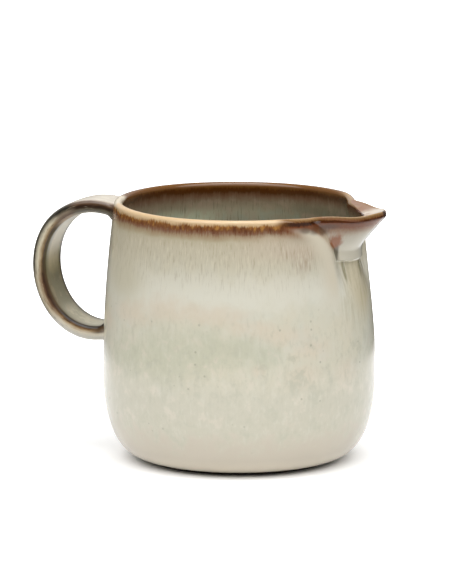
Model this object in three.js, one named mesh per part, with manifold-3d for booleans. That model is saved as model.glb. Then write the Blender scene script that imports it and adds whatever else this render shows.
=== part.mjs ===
// Milk jug in glazed stoneware: a pot jollied in a mould, with a pouring beak luted into a notch in its
// rim and a pulled strap handle luted on opposite. Millimetres, +Z up. The jug stands on z = 0 around the
// Z axis, its beak points to +X and its handle to -X.
import * as THREE from 'three';
import { mergeVertices } from 'three/addons/utils/BufferGeometryUtils.js';
import Module from 'manifold-3d';

const wasm = await Module();
wasm.setup();
const { lerp, clamp, smoothstep, degToRad } = THREE.MathUtils;

// Pot
const rimHeight = 85.1;
const rimRadius = 41.1;
const bellyRadius = 45;
const bellyHeight = 29.2;
const footRadius = 31.2;
const heelFullness = 2.3; // 2 turns the heel as an ellipse, more makes it squarer
const wallThickness = 3.8;
const lipThickness = 2.8;
const lipTaper = 20; // the wall thins to the lip over this height
const floorThickness = 5.2;
const footLift = 1.1; // the heel stands clear of the table by this much
const footInset = 0.4;

// Beak
const beakOverhang = 9.4; // tip, past the round of the rim
const beakReach = rimRadius + beakOverhang;
const beakTipHeight = 1.95;
const beakSlope = 0.9; // how fast the front edge falls back below the tip, mm for each mm
const beakDepth = 17.6; // root, below the rim
const beakRootRound = 1.6;
const rootArch = 1.2; // the root's line rises by this much
const rootArchAngle = degToRad(18); // this far out on each side
const beakEdgeAngle = degToRad(14); // rounds the tip and the front edge
const rimFlankAngle = degToRad(40); // flank to the mirror plane, at the rim
const rootFlankAngle = degToRad(72); // and at the root
const flankOpening = 20; // the flanks open out over this depth below the rim
const beakSpread = degToRad(60); // the beak lies within this angle of the mirror plane
const creaseRound = 0.6;

// Inside of the beak: a flange that slopes in from the lip, to the edge of a steep trough
const flangeLip = 1.2; // from the tip to the flange
const flangeDepth = 0.3; // the flange starts this far below the rim
const flangeSlope = 3.6; // how fast it falls back, mm for each mm
const troughOverhang = 1.3; // trough's edge, past the round of the rim
const troughDepth = 6; // below this depth its front falls back as the beak's does
const troughFlankAngle = degToRad(55);
const troughEdgeAngle = degToRad(11);
const foldRound = 0.6;

// Throat: the wall drawn in beside and under the beak, between two ridges
const shoulderDraw = 1.35;
const shoulderAngle = degToRad(36);
const throatLength = 50; // below the rim, where the drawing-in has died out
const grooveDepth = 2.5; // at the crease on each side of the beak
const rimGroove = 0.45; // share of that depth at the rim
const grooveStart = 4; // the groove is full this far below the rim
const ledgeDepth = 0.8; // under the middle of the beak's root
const grooveFadeStart = 14;
const grooveLength = 30;
const ridgeHalfWidth = 16.6; // from the middle to the ridge on each side
const ridgeRound = degToRad(9.5);
const ridgeFlareAngle = degToRad(27.5); // at the rim the ridges have swung apart by this much
const ridgeFlareFade = 5;
const ridgeSoftAngle = degToRad(13.5); // at the rim the ridges are rounder by this much
const ridgeSoftFade = 1.5;

// Lip line: the beak's lip sags a little on both sides of its tip, and the rim rises behind the beak
const lipSag = 0.7;
const sagAngle = degToRad(13);
const sagSpread = degToRad(6.5);
const rimRise = 0.6;
const rimRiseStart = degToRad(33);
const rimRiseEnd = degToRad(50);
const backRise = 0.3; // on top of it, towards the handle
const backRiseStart = degToRad(100);
const backRiseEnd = degToRad(160);
const lipLineFade = 14; // sag and rise die out over this height

// Handle
const strapWidth = 15.2;
const strapThickness = 4.6;
const topThinning = 0.5; // the strap is thinner by this much at its upper end
const thinningStart = 0.1; // shares of the strap's length between which it gains its full thickness
const thinningEnd = 0.35;
const strapEdge = 1.2;
const handleStandOff = 24.7; // wall to the strap's centreline at its furthest
const handleTopDrop = 5; // rim to the strap's upper end
const handleReachDrop = 23.6; // rim to the furthest point
const handleBottomDrop = 44.5; // rim to the strap's lower end
const topRun = 13.2;
const topRise = 5.8;
const shoulderRun = 16.8;
const hipRun = 13;
const bottomRun = 15.1;
const bottomSag = 5.1;

// Luting pads between the strap's ends and the wall
const padLength = 2.4;
const padFlare = 0.7;
const slipSeam = 0.3;

// How finely the round forms are stepped
const turnSteps = 72;
const turnFocus = 0.62; // draws the steps together at the beak
const heelSteps = 8;
const bellySteps = 1;
const throatSteps = 7;
const beakSteps = 10;
const lipSteps = 6;
const edgeSteps = 2;
const strapSteps = 36;
const padSteps = 8;
const creaseSteps = 16;
const creaseScan = degToRad(0.25);

// Cutters reach this far past what they cut
const overrun = 6;
// Closer points than this are one point
const weldDistance = 1e-4;

// Wall outside: a heel on a quarter superellipse, then a shallow curve from the belly up to the rim
function outerRadius(z) {
  if (z < bellyHeight) {
    const drop = clamp((bellyHeight - z) / (bellyHeight - footLift), 0, 1);
    const spread = (1 - drop ** heelFullness) ** (1 / heelFullness);
    return lerp(footRadius, bellyRadius, spread);
  }
  const rise = (z - bellyHeight) / (rimHeight - bellyHeight);
  return bellyRadius - (bellyRadius - rimRadius) * rise ** 2;
}

function heelPoints(floorRadius, sideRadius, floorZ) {
  const points = [];
  for (let step = 0; step <= heelSteps; step += 1) {
    const turn = (step / heelSteps) * (Math.PI / 2);
    const spread = Math.sin(turn) ** (2 / heelFullness);
    const rise = 1 - Math.max(Math.cos(turn), 0) ** (2 / heelFullness);
    points.push(new THREE.Vector2(
      lerp(floorRadius, sideRadius, spread),
      lerp(floorZ, bellyHeight, rise),
    ));
  }
  return points;
}

// Heights from the belly to the foot of the lip, closer together where the beak is formed
function wallHeights() {
  const stops = [
    [bellyHeight, bellySteps],
    [rimHeight - throatLength, throatSteps],
    [rimHeight - beakDepth, beakSteps],
    [rimHeight - lipThickness / 2, 0],
  ];
  const heights = [];
  for (let span = 0; span < stops.length - 1; span += 1) {
    const [low, steps] = stops[span];
    const [high] = stops[span + 1];
    for (let step = 1; step <= steps; step += 1) {
      heights.push(lerp(low, high, step / steps));
    }
  }
  return heights;
}

function wallAt(z) {
  return lerp(lipThickness, wallThickness, smoothstep(rimHeight - z, 0, lipTaper));
}

// Half section of the pot, from the middle of the base round to the middle of the floor inside
function potProfile() {
  const heights = wallHeights();
  const outside = heights.map((z) => new THREE.Vector2(outerRadius(z), z));
  const inside = heights.map((z) => new THREE.Vector2(outerRadius(z) - wallAt(z), z)).reverse();
  const lip = [];
  const lipRadius = lipThickness / 2;
  const lipFoot = outside[outside.length - 1];
  const innerFoot = inside[0];
  for (let step = 1; step < lipSteps; step += 1) {
    const turn = (step / lipSteps) * Math.PI;
    const across = (1 - Math.cos(turn)) / 2;
    lip.push(new THREE.Vector2(
      lerp(lipFoot.x, innerFoot.x, across),
      lipFoot.y + lipRadius * Math.sin(turn),
    ));
  }
  const heel = heelPoints(footRadius, bellyRadius, footLift);
  const innerHeel = heelPoints(footRadius - wallThickness, bellyRadius - wallThickness, floorThickness);
  return [
    new THREE.Vector2(0, 0),
    new THREE.Vector2(footRadius - footInset, 0),
    new THREE.Vector2(footRadius - footInset, footLift),
    ...heel,
    ...outside,
    ...lip,
    ...inside,
    ...innerHeel.reverse(),
    new THREE.Vector2(0, floorThickness),
  ];
}

// Larger of two radii, with the corner between them rounded
function roundedMax(first, second, round) {
  return (first + second + Math.hypot(first - second, round)) / 2;
}

// How far the wall is drawn in around the whole throat
function shoulderAt(angle, depth) {
  const fade = 1 - smoothstep(depth, beakDepth, throatLength);
  return fade * shoulderDraw * Math.exp(-((angle / shoulderAngle) ** 2));
}

// The wall as drawn in by the throat, without the beak
function drawnRadius(angle, depth) {
  const wall = outerRadius(rimHeight - depth);
  const ridgeBase = Math.asin(Math.min(ridgeHalfWidth / wall, 1));
  const ridge = ridgeBase + ridgeFlareAngle * Math.exp(-depth / ridgeFlareFade);
  const round = ridgeRound + ridgeSoftAngle * Math.exp(-depth / ridgeSoftFade);
  const swing = Math.abs(angle);
  const floor = lerp(ledgeDepth, grooveDepth, smoothstep(swing, 0, ridge - round));
  const groove = floor * smoothstep(ridge - swing, 0, round);
  const start = lerp(rimGroove, 1, smoothstep(depth, 0, grooveStart));
  const fade = start * (1 - smoothstep(depth, grooveFadeStart, grooveLength));
  return wall - shoulderAt(angle, depth) - fade * groove;
}

// Plan of two flanks, each at an angle to the mirror plane, that meet in a rounded edge
function flankRadius(edge, flank, angle, edgeAngle) {
  const swing = Math.hypot(angle, edgeAngle) - edgeAngle;
  return edge * Math.sin(flank) / Math.sin(flank + Math.min(swing, Math.PI / 2 - flank));
}

// The beak's flanks meet in its front edge, which falls back from the tip to the wall. They open out from
// the rim down, and below the root's arched line they sink into the wall.
function beakRadius(angle, depth) {
  const seat = outerRadius(rimHeight - depth) - shoulderAt(0, depth);
  const overhang = beakReach - beakSlope * Math.max(depth - beakTipHeight, 0);
  const root = beakDepth - rootArch * (angle / rootArchAngle) ** 2;
  const sunk = grooveDepth * smoothstep(depth, root - beakRootRound, root);
  const edge = roundedMax(overhang, seat, beakRootRound) - 2 * sunk;
  const flank = lerp(rimFlankAngle, rootFlankAngle, smoothstep(depth, 0, flankOpening));
  return flankRadius(edge, flank, angle, beakEdgeAngle);
}

function isThroat(angle, depth) {
  return depth < throatLength && Math.abs(angle) < beakSpread;
}

// The outside with throat and beak
function formedRadius(angle, depth) {
  const drawn = drawnRadius(angle, depth);
  return isThroat(angle, depth) ? roundedMax(drawn, beakRadius(angle, depth), creaseRound) : drawn;
}

// The inside, with the beak's flange and trough
function innerRadius(angle, depth) {
  const wall = drawnRadius(angle, depth) - wallAt(rimHeight - depth);
  const lip = flankRadius(beakReach - flangeLip, rimFlankAngle, angle, beakEdgeAngle);
  const flange = lip - flangeSlope * Math.max(depth - flangeDepth, 0);
  const edge = rimRadius + troughOverhang - beakSlope * Math.max(depth - troughDepth, 0);
  const trough = flankRadius(edge, troughFlankAngle, angle, troughEdgeAngle);
  const hollow = roundedMax(flange, trough, foldRound);
  return isThroat(angle, depth) ? roundedMax(wall, hollow, foldRound) : wall;
}

function lipDrop(angle, depth) {
  const swing = Math.abs(angle);
  const sag = lipSag * Math.exp(-(((swing - sagAngle) / sagSpread) ** 2));
  const rise =
    rimRise * smoothstep(swing, rimRiseStart, rimRiseEnd) +
    backRise * smoothstep(swing, backRiseStart, backRiseEnd);
  return (sag - rise) * (1 - smoothstep(depth, 0, lipLineFade));
}

// Moves a point of the turned pot to where the beak, throat and lip line put it
function form(point) {
  const angle = Math.atan2(point.y, point.x);
  const depth = rimHeight - point.z;
  const inset = outerRadius(point.z) - Math.hypot(point.x, point.y);
  const throughWall = inset / wallAt(point.z);
  const radius = lerp(formedRadius(angle, depth), innerRadius(angle, depth), throughWall);
  return new THREE.Vector3(
    radius * Math.cos(angle),
    radius * Math.sin(angle),
    point.z - lipDrop(angle, depth),
  );
}

// Turns a half section about Z, with its seam at the handle and its steps drawn together at the beak
function turned(profile) {
  const geometry = new THREE.LatheGeometry(profile, turnSteps, -Math.PI / 2).rotateX(Math.PI / 2);
  const places = geometry.attributes.position;
  for (let index = 0; index < places.count; index += 1) {
    const even = Math.atan2(places.getY(index), places.getX(index));
    const angle = even - turnFocus * Math.sin(even);
    const radius = Math.hypot(places.getX(index), places.getY(index));
    places.setXY(index, radius * Math.cos(angle), radius * Math.sin(angle));
  }
  return geometry;
}

function formed(geometry) {
  const places = geometry.attributes.position;
  for (let index = 0; index < places.count; index += 1) {
    const moved = form(new THREE.Vector3().fromBufferAttribute(places, index));
    places.setXYZ(index, moved.x, moved.y, moved.z);
  }
  return geometry;
}

// Skins rings of equally many points, each counter-clockwise about the way the rings run
function lofted(rings) {
  const count = rings[0].length;
  const corners = rings.flat().flatMap((point) => point.toArray());
  const faces = [];
  for (let ring = 0; ring < rings.length - 1; ring += 1) {
    for (let corner = 0; corner < count; corner += 1) {
      const near = ring * count + corner;
      const beside = ring * count + (corner + 1) % count;
      faces.push(near, beside, beside + count, near, beside + count, near + count);
    }
  }
  const last = (rings.length - 1) * count;
  for (let corner = 1; corner < count - 1; corner += 1) {
    faces.push(0, corner + 1, corner, last, last + corner, last + corner + 1);
  }
  const geometry = new THREE.BufferGeometry();
  geometry.setAttribute('position', new THREE.Float32BufferAttribute(corners, 3));
  geometry.setIndex(faces);
  return geometry;
}

function toSolid(geometry) {
  const bare = geometry.clone();
  bare.deleteAttribute('normal');
  bare.deleteAttribute('uv');
  const merged = mergeVertices(bare, weldDistance);
  const source = merged.index.array;
  const triangles = [];
  for (let start = 0; start < source.length; start += 3) {
    const [a, b, c] = source.slice(start, start + 3);
    if (a !== b && b !== c && c !== a) {
      triangles.push(a, b, c);
    }
  }
  return new wasm.Manifold(new wasm.Mesh({
    numProp: 3,
    vertProperties: new Float32Array(merged.attributes.position.array),
    triVerts: new Uint32Array(triangles),
  }));
}

function toGeometry(solid) {
  const mesh = solid.getMesh();
  const geometry = new THREE.BufferGeometry();
  geometry.setAttribute('position', new THREE.BufferAttribute(mesh.vertProperties, 3));
  geometry.setIndex(new THREE.BufferAttribute(mesh.triVerts, 1));
  geometry.computeVertexNormals();
  return geometry;
}

// The pot's outside grown by an allowance, for fitting the handle and its pads to the wall
function potEnvelope(allowance) {
  const side = [
    ...heelPoints(footRadius, bellyRadius, footLift),
    ...wallHeights().map((z) => new THREE.Vector2(outerRadius(z), z)),
  ];
  const profile = side.map((point) => new THREE.Vector2(point.x + allowance, point.y));
  const top = rimHeight + overrun;
  profile.push(new THREE.Vector2(rimRadius + allowance, top), new THREE.Vector2(0, top));
  return toSolid(turned([new THREE.Vector2(0, footLift), ...profile]));
}

// Where the beak's flank meets the drawn-in wall at a depth below the rim, seen along X
function creasePoint(depth) {
  let angle = 0;
  while (angle < beakSpread && beakRadius(angle, depth) > drawnRadius(angle, depth)) {
    angle += creaseScan;
  }
  const across = formedRadius(angle, depth) * Math.sin(angle);
  return new THREE.Vector2(across, rimHeight - depth - lipDrop(angle, depth));
}

// The beak's outline seen along X, from its foot up both creases and on past the rim, as a prism that
// cuts the beak out of the wall
function beakCutter(allowance) {
  const crease = [];
  for (let step = 0; step <= creaseSteps; step += 1) {
    crease.push(creasePoint((step / creaseSteps) * (beakDepth - beakRootRound)));
  }
  const flare = crease[0].clone().sub(crease[1]).setLength(overrun);
  crease.unshift(crease[0].clone().add(flare));
  const side = crease.map((point, index) => {
    const before = crease[Math.max(index - 1, 0)];
    const after = crease[Math.min(index + 1, crease.length - 1)];
    const along = after.clone().sub(before).normalize();
    return point.clone().add(new THREE.Vector2(-along.y, along.x).multiplyScalar(allowance));
  });
  side.push(new THREE.Vector2(side[side.length - 1].x, rimHeight - beakDepth - allowance));
  const mirrored = side.map((point) => new THREE.Vector2(-point.x, point.y)).reverse();
  const outline = new THREE.Shape([...side, ...mirrored]);
  const prism = new THREE.ExtrudeGeometry(outline, { depth: beakReach + overrun, bevelEnabled: false });
  const alongX = new THREE.Matrix4().makeBasis(
    new THREE.Vector3(0, 1, 0),
    new THREE.Vector3(0, 0, 1),
    new THREE.Vector3(1, 0, 0),
  );
  return toSolid(prism.applyMatrix4(alongX));
}

// The strap's centreline: out from under the rim, round its furthest point and back into the wall
function handleLine() {
  const topZ = rimHeight - handleTopDrop;
  const reachZ = rimHeight - handleReachDrop;
  const bottomZ = rimHeight - handleBottomDrop;
  const topX = -(outerRadius(topZ) - wallThickness / 2);
  const bottomX = -(outerRadius(bottomZ) - wallThickness / 2);
  const reachX = -(outerRadius(reachZ) + handleStandOff);
  const line = new THREE.CurvePath();
  line.add(new THREE.CubicBezierCurve3(
    new THREE.Vector3(topX, 0, topZ),
    new THREE.Vector3(topX - topRun, 0, topZ + topRise),
    new THREE.Vector3(reachX, 0, reachZ + shoulderRun),
    new THREE.Vector3(reachX, 0, reachZ),
  ));
  line.add(new THREE.CubicBezierCurve3(
    new THREE.Vector3(reachX, 0, reachZ),
    new THREE.Vector3(reachX, 0, reachZ - hipRun),
    new THREE.Vector3(bottomX - bottomRun, 0, bottomZ - bottomSag),
    new THREE.Vector3(bottomX, 0, bottomZ),
  ));
  return line;
}

// The strap's rounded section at a share of its length, grown all round by an allowance
function strapRing(line, share, allowance) {
  const thinning = topThinning * (1 - smoothstep(share, thinningStart, thinningEnd));
  const thickness = strapThickness - thinning;
  const halfWidth = strapWidth / 2 + allowance;
  const halfThickness = thickness / 2 + allowance;
  const round = Math.min(strapEdge, thickness / 2) + allowance;
  const section = new THREE.Shape();
  const quarter = Math.PI / 2;
  [[1, 1], [-1, 1], [-1, -1], [1, -1]].forEach(([across, up], corner) => {
    section.absarc(
      across * (halfWidth - round),
      up * (halfThickness - round),
      round,
      corner * quarter,
      (corner + 1) * quarter,
    );
  });
  const middle = line.getPointAt(share);
  const along = line.getTangentAt(share);
  const sideways = new THREE.Vector3(0, 1, 0);
  const outward = along.clone().cross(sideways);
  return section.getPoints(edgeSteps).map((point) => middle.clone()
    .addScaledVector(sideways, point.x)
    .addScaledVector(outward, point.y));
}

function strapSolid(line) {
  const rings = [];
  for (let step = 0; step <= strapSteps; step += 1) {
    rings.push(strapRing(line, step / strapSteps, 0));
  }
  return toSolid(lofted(rings));
}

// A strap end that flares towards the wall, for the pad of luting clay. The first share lies in the wall.
function flareSolid(line, firstShare, lastShare) {
  const rings = [];
  for (let step = 0; step <= padSteps; step += 1) {
    const share = lerp(firstShare, lastShare, step / padSteps);
    const middle = line.getPointAt(share);
    const fromWall = -middle.x - outerRadius(middle.z);
    const flare = padFlare * (1 - clamp(fromWall / padLength, 0, 1)) ** 2;
    rings.push(strapRing(line, share, flare));
  }
  if (firstShare > lastShare) {
    rings.reverse();
  }
  return toSolid(lofted(rings));
}

// Share of the strap's line within which a pad lies, counted from that end
function padShare(line) {
  return (wallThickness + padLength + strapThickness) / line.getLength();
}

const pot = toSolid(formed(turned(potProfile())));
const body = pot.subtract(beakCutter(slipSeam));
const spout = pot.intersect(beakCutter(0));

const line = handleLine();
const padFace = potEnvelope(padLength);
const wallFace = potEnvelope(slipSeam);
const handle = strapSolid(line).subtract(potEnvelope(padLength + slipSeam));
const topPad = flareSolid(line, 0, padShare(line)).intersect(padFace).subtract(wallFace);
const bottomPad = flareSolid(line, 1, 1 - padShare(line)).intersect(padFace).subtract(wallFace);

function piece(name, solid, color, roughness) {
  const material = new THREE.MeshStandardMaterial({ color, roughness, metalness: 0 });
  const mesh = new THREE.Mesh(toGeometry(solid), material);
  mesh.name = name;
  return mesh;
}

const jug = new THREE.Group();
jug.add(
  piece('body', body, 0xcbc6b4, 0.22),
  piece('spout', spout, 0xc4bfb0, 0.22),
  piece('handle', handle, 0xb7a98c, 0.25),
  piece('handle_top_luting', topPad, 0x8a673f, 0.25),
  piece('handle_bottom_luting', bottomPad, 0xa08c69, 0.25),
);

export default jug;
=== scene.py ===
import math

import bmesh
import bpy
import numpy as np
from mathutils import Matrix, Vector


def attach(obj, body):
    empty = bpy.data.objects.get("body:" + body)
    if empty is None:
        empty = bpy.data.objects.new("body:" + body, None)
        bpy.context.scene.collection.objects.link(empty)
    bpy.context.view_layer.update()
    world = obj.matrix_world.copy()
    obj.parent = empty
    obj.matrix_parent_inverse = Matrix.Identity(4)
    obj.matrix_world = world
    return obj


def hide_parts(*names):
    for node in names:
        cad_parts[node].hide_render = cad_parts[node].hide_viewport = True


# Milk jug in reactive-glazed stoneware. Sizes are millimetres until a mesh is made. Meshes and the studio
# are in metres.
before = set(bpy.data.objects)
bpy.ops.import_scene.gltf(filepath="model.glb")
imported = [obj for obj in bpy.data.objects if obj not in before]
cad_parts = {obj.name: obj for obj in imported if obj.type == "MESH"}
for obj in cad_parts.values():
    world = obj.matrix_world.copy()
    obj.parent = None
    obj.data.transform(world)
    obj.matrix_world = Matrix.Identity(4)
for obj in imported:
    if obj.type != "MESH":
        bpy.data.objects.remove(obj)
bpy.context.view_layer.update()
metresPerMm = 0.001

pot = {
    "rimHeight": 85.1,
    "rimRadius": 41.1,
    "bellyRadius": 45.0,
    "bellyHeight": 29.2,
    "footRadius": 31.2,
    "heelFullness": 2.3,      # 2 turns the heel as an ellipse, more makes it squarer
    "wall": 3.8,
    "lip": 2.8,               # wall at the lip
    "lipTaper": 20.0,
    "floor": 5.2,
    "footLift": 1.1,
    "footInset": 0.4,
    "footEdge": 0.25,         # rounding of the turned foot
}

throat = {
    "draw": 1.35,             # whole shoulder drawn in round the beak
    "drawAngle": math.radians(36),
    "length": 50.0,           # below the rim, where the drawing-in has died out
    "groove": 2.5,            # depth of the crease beside the beak
    "rimGroove": 0.45,        # share of that depth at the rim
    "grooveStart": 4.0,       # below the rim, where it has its full depth
    "ledge": 0.8,             # depth under the beak's root
    "grooveFade": (14.0, 30.0),
    "ridgeHalfWidth": 16.6,   # mirror plane to the ridge beside the crease
    "ridgeRound": math.radians(9.5),
    "flareAngle": math.radians(27.5),   # the ridges spread by this much at the rim
    "flareFade": 5.0,
    "softAngle": math.radians(13.5),    # and are this much rounder there
    "softFade": 1.5,
}

beak = {
    "overhang": 9.4,          # tip past the round of the rim
    "tipDepth": 1.95,
    "slope": 0.9,             # front edge's fall back for each mm down
    "depth": 17.6,            # root below the rim
    "rootRound": 1.6,
    "rootArch": 1.2,          # root's line rises this much at rootArchAngle
    "rootArchAngle": math.radians(18),
    "edgeAngle": math.radians(14),
    "rimFlank": math.radians(40),       # flank to the mirror plane at the rim
    "rootFlank": math.radians(72),
    "flankOpening": 20.0,     # depth over which it opens to rootFlank
    "spread": math.radians(60),
    "creaseRound": 0.6,
    "flangeLip": 1.2,         # from the tip to the flange inside it
    "flangeDepth": 0.3,
    "flangeSlope": 3.6,
    "troughOverhang": 1.3,    # edge of the steep trough below the flange, past the round of the rim
    "troughDepth": 6.0,
    "troughFlank": math.radians(55),
    "troughEdgeAngle": math.radians(11),
    "foldRound": 0.6,
    "sag": 0.7,               # lip on both sides of the tip
    "sagAngle": math.radians(13),
    "sagSpread": math.radians(6.5),
    "rimRise": 0.6,           # the rim rises behind the beak
    "rimRiseAngles": (math.radians(33), math.radians(50)),
    "backRise": 0.3,          # on top of it, towards the handle
    "backRiseAngles": (math.radians(100), math.radians(160)),
    "lipLineFade": 14.0,
}
beakReach = pot["rimRadius"] + beak["overhang"]

potMesh = {
    "beakColumns": 96,
    "restColumns": 264,
    "columnFocus": 0.1,       # draws the columns together at the creases
    "creaseStep": math.radians(0.05),
    "axisRing": 0.5,          # radius of the rings round the middle of the base and of the floor
    "baseRows": 8,
    "footRows": 4,
    "undersideRows": 3,
    "heelRows": 36,
    "bellyRows": 6,
    "throatRows": 32,
    "beakRows": 36,
    "lipRows": 20,
    "floorRows": 11,
}
sharpAngle = math.radians(35)


def smoothStep(value, low, high):
    share = np.clip((value - low) / (high - low), 0.0, 1.0)
    return share * share * (3.0 - 2.0 * share)


def blend(first, second, share):
    return first + (second - first) * share


def roundedMax(first, second, rounding):
    return (first + second + np.hypot(first - second, rounding)) / 2.0


def outerRadius(z):
    drop = np.clip((pot["bellyHeight"] - z) / (pot["bellyHeight"] - pot["footLift"]), 0.0, 1.0)
    fullness = pot["heelFullness"]
    heel = blend(pot["footRadius"], pot["bellyRadius"], (1.0 - drop ** fullness) ** (1.0 / fullness))
    rise = (z - pot["bellyHeight"]) / (pot["rimHeight"] - pot["bellyHeight"])
    side = pot["bellyRadius"] - (pot["bellyRadius"] - pot["rimRadius"]) * rise ** 2
    return np.where(z < pot["bellyHeight"], heel, side)


def wallAt(depth):
    return blend(pot["lip"], pot["wall"], smoothStep(depth, 0.0, pot["lipTaper"]))


def shoulderAt(angle, depth):
    fade = 1.0 - smoothStep(depth, beak["depth"], throat["length"])
    return fade * throat["draw"] * np.exp(-((angle / throat["drawAngle"]) ** 2))


def ridgeAngle(depth):
    wall = outerRadius(pot["rimHeight"] - depth)
    flare = throat["flareAngle"] * np.exp(-depth / throat["flareFade"])
    return np.arcsin(np.minimum(throat["ridgeHalfWidth"] / wall, 1.0)) + flare


# The wall as drawn in by the throat, without the beak
def drawnRadius(angle, depth):
    ridge = ridgeAngle(depth)
    rounding = throat["ridgeRound"] + throat["softAngle"] * np.exp(-depth / throat["softFade"])
    swing = np.abs(angle)
    floor = blend(throat["ledge"], throat["groove"], smoothStep(swing, 0.0, ridge - rounding))
    groove = floor * smoothStep(ridge - swing, 0.0, rounding)
    start = blend(throat["rimGroove"], 1.0, smoothStep(depth, 0.0, throat["grooveStart"]))
    fade = start * (1.0 - smoothStep(depth, *throat["grooveFade"]))
    return outerRadius(pot["rimHeight"] - depth) - shoulderAt(angle, depth) - fade * groove


# Plan of two flanks, each at an angle to the mirror plane, that meet in a rounded edge
def flankRadius(edge, flank, angle, edgeAngle):
    swing = np.hypot(angle, edgeAngle) - edgeAngle
    return edge * np.sin(flank) / np.sin(flank + np.minimum(swing, math.pi / 2 - flank))


# The beak's flanks meet in its front edge, which falls back from the tip to the wall
def beakRadius(angle, depth):
    seat = outerRadius(pot["rimHeight"] - depth) - shoulderAt(0.0, depth)
    overhang = beakReach - beak["slope"] * np.maximum(depth - beak["tipDepth"], 0.0)
    root = beak["depth"] - beak["rootArch"] * (angle / beak["rootArchAngle"]) ** 2
    sunk = throat["groove"] * smoothStep(depth - root, -beak["rootRound"], 0.0)
    edge = roundedMax(overhang, seat, beak["rootRound"]) - 2.0 * sunk
    flank = blend(beak["rimFlank"], beak["rootFlank"], smoothStep(depth, 0.0, beak["flankOpening"]))
    return flankRadius(edge, flank, angle, beak["edgeAngle"])


def isThroat(angle, depth):
    return (depth < throat["length"]) & (np.abs(angle) < beak["spread"])


def formedRadius(angle, depth):
    drawn = drawnRadius(angle, depth)
    withBeak = roundedMax(drawn, beakRadius(angle, depth), beak["creaseRound"])
    return np.where(isThroat(angle, depth), withBeak, drawn)


def flangeRadius(angle, depth):
    lip = flankRadius(beakReach - beak["flangeLip"], beak["rimFlank"], angle, beak["edgeAngle"])
    return lip - beak["flangeSlope"] * np.maximum(depth - beak["flangeDepth"], 0.0)


def troughRadius(angle, depth):
    fallBack = beak["slope"] * np.maximum(depth - beak["troughDepth"], 0.0)
    edge = pot["rimRadius"] + beak["troughOverhang"] - fallBack
    return flankRadius(edge, beak["troughFlank"], angle, beak["troughEdgeAngle"])


# The inside, with the beak's flange and trough
def innerRadius(angle, depth):
    wall = drawnRadius(angle, depth) - wallAt(depth)
    hollow = roundedMax(flangeRadius(angle, depth), troughRadius(angle, depth), beak["foldRound"])
    return np.where(isThroat(angle, depth), roundedMax(wall, hollow, beak["foldRound"]), wall)


def lipDrop(angle, depth):
    swing = np.abs(angle)
    sag = beak["sag"] * np.exp(-((swing - beak["sagAngle"]) / beak["sagSpread"]) ** 2)
    rise = beak["rimRise"] * smoothStep(swing, *beak["rimRiseAngles"])
    rise = rise + beak["backRise"] * smoothStep(swing, *beak["backRiseAngles"])
    return (sag - rise) * (1.0 - smoothStep(depth, 0.0, beak["lipLineFade"]))


# Angle of the crease, where the beak's flank meets the drawn-in wall at a depth below the rim
def creaseAngle(depth):
    scan = np.arange(0.0, beak["spread"], potMesh["creaseStep"])
    depth = np.minimum(depth, beak["depth"] - beak["rootRound"])[:, None]
    sunk = beakRadius(scan, depth) <= drawnRadius(scan, depth)
    return scan[np.argmax(sunk, axis=1)]


# Rows of a section, each a radius and a height
def sectionRows(radii, heights):
    return np.stack(np.broadcast_arrays(radii, heights), axis=1)


def heelRows(floorRadius, sideRadius, floorZ):
    turn = np.linspace(0.0, math.pi / 2, potMesh["heelRows"] + 1)
    power = 2.0 / pot["heelFullness"]
    spread = np.sin(turn) ** power
    rise = 1.0 - np.maximum(np.cos(turn), 0.0) ** power
    return sectionRows(blend(floorRadius, sideRadius, spread), blend(floorZ, pot["bellyHeight"], rise))


# Half section of the pot from the base's middle, over the lip, to the floor's middle inside
def potSection():
    rim = pot["rimHeight"]
    lipRound = pot["lip"] / 2.0
    stops = [pot["bellyHeight"], rim - throat["length"], rim - beak["depth"], rim - lipRound]
    counts = [potMesh["bellyRows"], potMesh["throatRows"], potMesh["beakRows"]]
    spans = zip(stops, stops[1:], counts)
    heights = np.concatenate([np.linspace(low, high, count + 1)[1:] for low, high, count in spans])
    outside = sectionRows(outerRadius(heights), heights)
    inside = sectionRows(outerRadius(heights) - wallAt(rim - heights), heights)[::-1]
    turn = np.linspace(0.0, math.pi, potMesh["lipRows"] + 1)[1:-1]
    overLip = blend(outside[-1, 0], inside[0, 0], (1.0 - np.cos(turn)) / 2.0)
    lip = sectionRows(overLip, outside[-1, 1] + lipRound * np.sin(turn))
    edge = pot["footEdge"]
    footSide = pot["footRadius"] - pot["footInset"]
    base = sectionRows(np.linspace(potMesh["axisRing"], footSide - 2.0 * edge, potMesh["baseRows"]), 0.0)
    turn = np.linspace(0.0, math.pi / 2, potMesh["footRows"] + 1)
    foot = sectionRows(footSide - edge + edge * np.sin(turn), edge - edge * np.cos(turn))
    overhang = np.linspace(footSide, pot["footRadius"], potMesh["undersideRows"] + 1)[:-1]
    underside = sectionRows(overhang, pot["footLift"])
    innerFloor = pot["footRadius"] - pot["wall"]
    inward = np.linspace(innerFloor, potMesh["axisRing"], potMesh["floorRows"] + 1)[1:]
    floor = sectionRows(inward, pot["floor"])
    return np.concatenate([
        base,
        foot,
        underside,
        heelRows(pot["footRadius"], pot["bellyRadius"], pot["footLift"]),
        outside,
        lip,
        inside,
        heelRows(innerFloor, pot["bellyRadius"] - pot["wall"], pot["floor"])[::-1],
        floor,
    ])


# Turns of each row's columns: over the beak between its creases, then round the rest of the pot
def columnTurns(crease):
    over = np.linspace(-1.0, 1.0, potMesh["beakColumns"] + 1)[:-1]
    rest = np.linspace(0.0, 1.0, potMesh["restColumns"] + 1)[:-1]
    rest = rest - potMesh["columnFocus"] * np.sin(2.0 * math.pi * rest)
    crease = crease[:, None]
    overBeak = crease * np.sin(over * math.pi / 2)
    return np.concatenate([overBeak, crease + rest * 2.0 * (math.pi - crease)], axis=1)


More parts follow.
